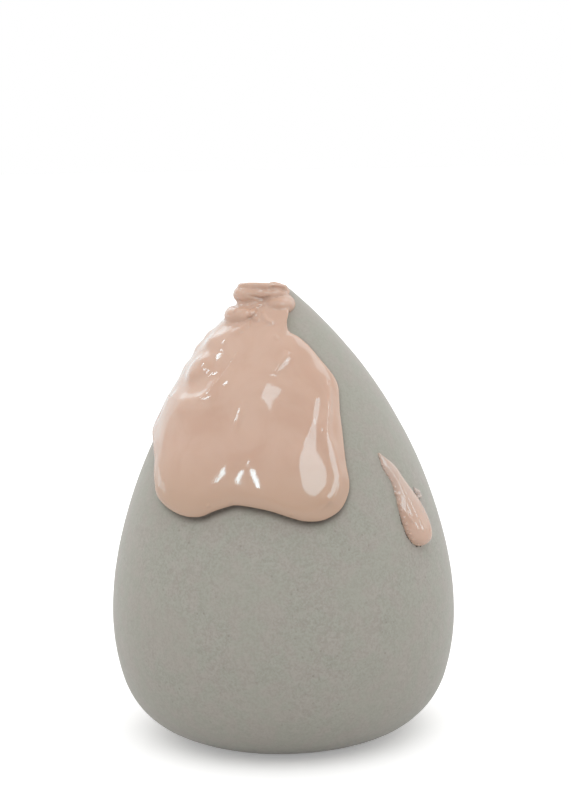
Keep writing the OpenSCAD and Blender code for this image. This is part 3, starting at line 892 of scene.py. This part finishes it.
foamPart = foamPiece(foamMaterial())
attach(foamPart, "root")
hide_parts("sponge_body")
print("foam body made:", len(foamPart.data.vertices), "points")

liquid = foundationMaterial()
shells = [poolShell(), ropeShell(), coreShell(), *(rollShell(*roll) for roll in folds["rolls"])]
pourPart = meshPiece("pouredFoundation", *joinShells(shells), liquid)
melt(pourPart)
wrinkle(pourPart)
crease(pourPart, poured["creases"])
shadeByHeight(pourPart, *poured["shade"])
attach(pourPart, "root")
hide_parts("foundation_pool", "foundation_folds")
print("pool and folds made")

dripPart = meshPiece("foundationDrip", *joinShells([dripShell(drip)]), liquid)
crease(dripPart, drip["creases"])
shadeByHeight(dripPart, *drip["shade"])
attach(dripPart, "root")
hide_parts("foundation_drip")

fleckPart = meshPiece("foundationFleck", *joinShells([dripShell(fleck)]), liquid)
shadeByHeight(fleckPart, *fleck["shade"])
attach(fleckPart, "root")
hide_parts("foundation_fleck")
print("drip and fleck made")


# The floor, the room's light and the lamps
stage = {
    "floorSize": 3.0,                    # in metres
    "floorDrop": 0.02,                   # how far the floor lies under the base, in mm
    "floorSeen": (0.96, 0.96, 0.96),     # the floor as the camera sees it, and as it lights the foam
    "floorBounce": (0.72, 0.72, 0.72),
    "floorLift": 0.28,                   # share of plain white over the floor, as the camera sees it
    "skyFront": 0.24,                    # the room's brightness at the front, and what the rest of it adds
    "skyTop": 0.68,
    "skySide": 0.70,
    "skySideFall": 1.5,
    "skyBackLevels": (-0.6, 0.8),
    "skyGloss": 0.75,                    # share of it that shows in the gloss
    "lampColour": (0.68, 1.0, 1.12),
    "lampTarget": (0, 0, 0.035),         # in metres, like the lamps' distances and sizes
}


def makeFloor():
    material, lay = newMaterial("paleFloor")
    path = lay.add("ShaderNodeLightPath")
    seen = lay.larger(path.outputs["Is Camera Ray"], path.outputs["Is Transmission Ray"])
    shade = lay.mix(seen, rgba(stage["floorBounce"]), rgba(stage["floorSeen"]))
    plain = lay.add("ShaderNodeBsdfDiffuse", {"Color": shade})
    lift = lay.times(seen, stage["floorLift"])
    glow = lay.add("ShaderNodeEmission", {"Color": (1, 1, 1, 1), "Strength": lift})
    both = lay.add("ShaderNodeAddShader", {0: plain.outputs["BSDF"], 1: glow.outputs["Emission"]})
    lay.add("ShaderNodeOutputMaterial", {"Surface": both.outputs["Shader"]})
    half, low = stage["floorSize"] / 2 / mm, -stage["floorDrop"]
    corners = [(-half, -half, low), (half, -half, low), (half, half, low), (-half, half, low)]
    floor = meshPiece("floor", corners, [(0, 1, 2, 3)], material)


def makeSky():
    world = bpy.data.worlds.new("whiteStudio")
    bpy.context.scene.world = world
    world.use_nodes = True
    lay = Nodes(world.node_tree)
    way = lay.add("ShaderNodeTexCoord").outputs["Generated"]
    split = lay.add("ShaderNodeSeparateXYZ", {0: way})
    aside = lay.maths("POWER", lay.maths("ABSOLUTE", split.outputs["X"]), stage["skySideFall"])
    side = lay.larger(aside, lay.band(split.outputs["Y"], stage["skyBackLevels"]))
    top = lay.larger(split.outputs["Z"], 0.0)
    level = lay.plus(stage["skyFront"], lay.times(top, stage["skyTop"]))
    level = lay.plus(level, lay.times(side, stage["skySide"]))
    path = lay.add("ShaderNodeLightPath")
    gloss = lay.less(1.0, lay.times(path.outputs["Is Glossy Ray"], 1 - stage["skyGloss"]))
    level = lay.times(level, gloss)
    # the camera sees plain white
    seen = lay.larger(path.outputs["Is Camera Ray"], path.outputs["Is Transmission Ray"])
    strength = lay.plus(lay.times(level, lay.less(1.0, seen)), seen)
    shade = lay.add("ShaderNodeBackground", {"Color": (1, 1, 1, 1), "Strength": strength})
    lay.add("ShaderNodeOutputWorld", {"Surface": shade.outputs["Background"]})


# lamps: bearing, elevation, distance, width, height, strength, and tilt about its own axis. A lamp is a
# rectangle that shows only in the gloss, unless its row says otherwise.
lamps = {
    "boxRight": (40, 37.3, 0.6, 0.465, 0.229, 4.0, 8, "gloss", "ELLIPSE"),
    "boxTop": (68, 46, 0.6, 0.20, 0.085, 4.6, 0),
    "crest": (86, 24, 0.6, 0.020, 0.085, 9.0, 0),
    "boxLow": (60, 20, 0.6, 0.08, 0.17, 6.0, 0),
    "fill": (6, 57, 0.6, 0.50, 0.40, 0.88, 0, "matt"),
    "window": (-10, 60, 0.6, 0.12, 0.10, 5.2, -26),
    "sideLeft": (-150, 12, 0.7, 0.50, 0.40, 0.55, 0),
    "shoulderLeft": (-154, 34, 0.7, 0.30, 0.26, 1.1, 0),
    "lowLeft": (-115, -2, 0.7, 0.375, 0.22, 1.2, 0),
    "shoulderRight": (122, 50, 0.7, 0.24, 0.30, 2.0, 0),
    "sideRight": (118, 18, 0.7, 0.65, 0.30, 0.5, 0),
    "glintOne": (-49.5, 30, 0.6, 0.014, 0.055, 18.0, 45),
    "glintTwo": (-34.3, 28.8, 0.6, 0.026, 0.085, 18.0, -33),
    "glintThree": (-22.5, 31.8, 0.6, 0.038, 0.055, 20.0, 10),
    "glintFour": (-28, 37, 0.6, 0.014, 0.014, 14.0, 0),
    "glintFive": (-74, 56, 0.6, 0.034, 0.034, 16.0, 0),
    "hookTop": (-110, 36.8, 0.6, 0.018, 0.030, 12.0, -22),
    "hookStem": (-114.6, 39.2, 0.6, 0.028, 0.060, 12.0, -38),
    "dash": (-86, 39.5, 0.6, 0.055, 0.06, 10.0, 0),
}


def makeLamp(name, bearing, elevation, distance, width, height, strength, tilt, shows="gloss",
             form="RECTANGLE"):
    light = bpy.data.lights.new(name, "AREA")
    light.color = stage["lampColour"] if shows == "gloss" else (1, 1, 1)
    light.shape = form
    light.size, light.size_y = width, height
    light.energy = strength * width * height * math.pi      # strength is then the light's own brightness
    lamp = bpy.data.objects.new(name, light)
    a, e = math.radians(bearing), math.radians(elevation)
    way = Vector((math.sin(a) * math.cos(e), -math.cos(a) * math.cos(e), math.sin(e)))
    lamp.location = Vector(stage["lampTarget"]) + way * distance
    turn = (-way).to_track_quat("-Z", "Y") @ Matrix.Rotation(math.radians(tilt), 3, "Z").to_quaternion()
    lamp.rotation_mode = "QUATERNION"
    lamp.rotation_quaternion = turn
    lamp.visible_diffuse = shows != "gloss"
    lamp.visible_glossy = shows != "matt"
    bpy.context.scene.collection.objects.link(lamp)


makeFloor()
makeSky()
for lampName, spec in lamps.items():
    makeLamp(lampName, *spec)
print("floor, sky and lamps made")

view = {
    "place": (0.0, -0.2697, 0.08835),    # in metres
    "pan": 0.161,                        # degrees to the right
    "down": 9.166,
    "roll": -0.982,
    "lens": 92.898,
    "sensor": 36.0,
    "clip": (0.01, 10),
}


def makeCamera():
    pan, down, roll = (math.radians(view[key]) for key in ("pan", "down", "roll"))
    ahead = Vector((math.sin(pan) * math.cos(down), math.cos(pan) * math.cos(down), -math.sin(down)))
    right = Vector((math.cos(pan), -math.sin(pan), 0))
    up = right.cross(ahead)
    right, up = math.cos(roll) * right + math.sin(roll) * up, math.cos(roll) * up - math.sin(roll) * right
    data = bpy.data.cameras.new("camera")
    data.lens, data.sensor_width = view["lens"], view["sensor"]
    data.clip_start, data.clip_end = view["clip"]
    camera = bpy.data.objects.new("camera", data)
    bpy.context.scene.collection.objects.link(camera)
    turned = Matrix((right, up, -ahead)).transposed().to_4x4()
    camera.matrix_world = Matrix.Translation(view["place"]) @ turned
    bpy.context.scene.camera = camera


makeCamera()
bpy.context.scene.view_settings.view_transform = "Standard"
print("camera set")
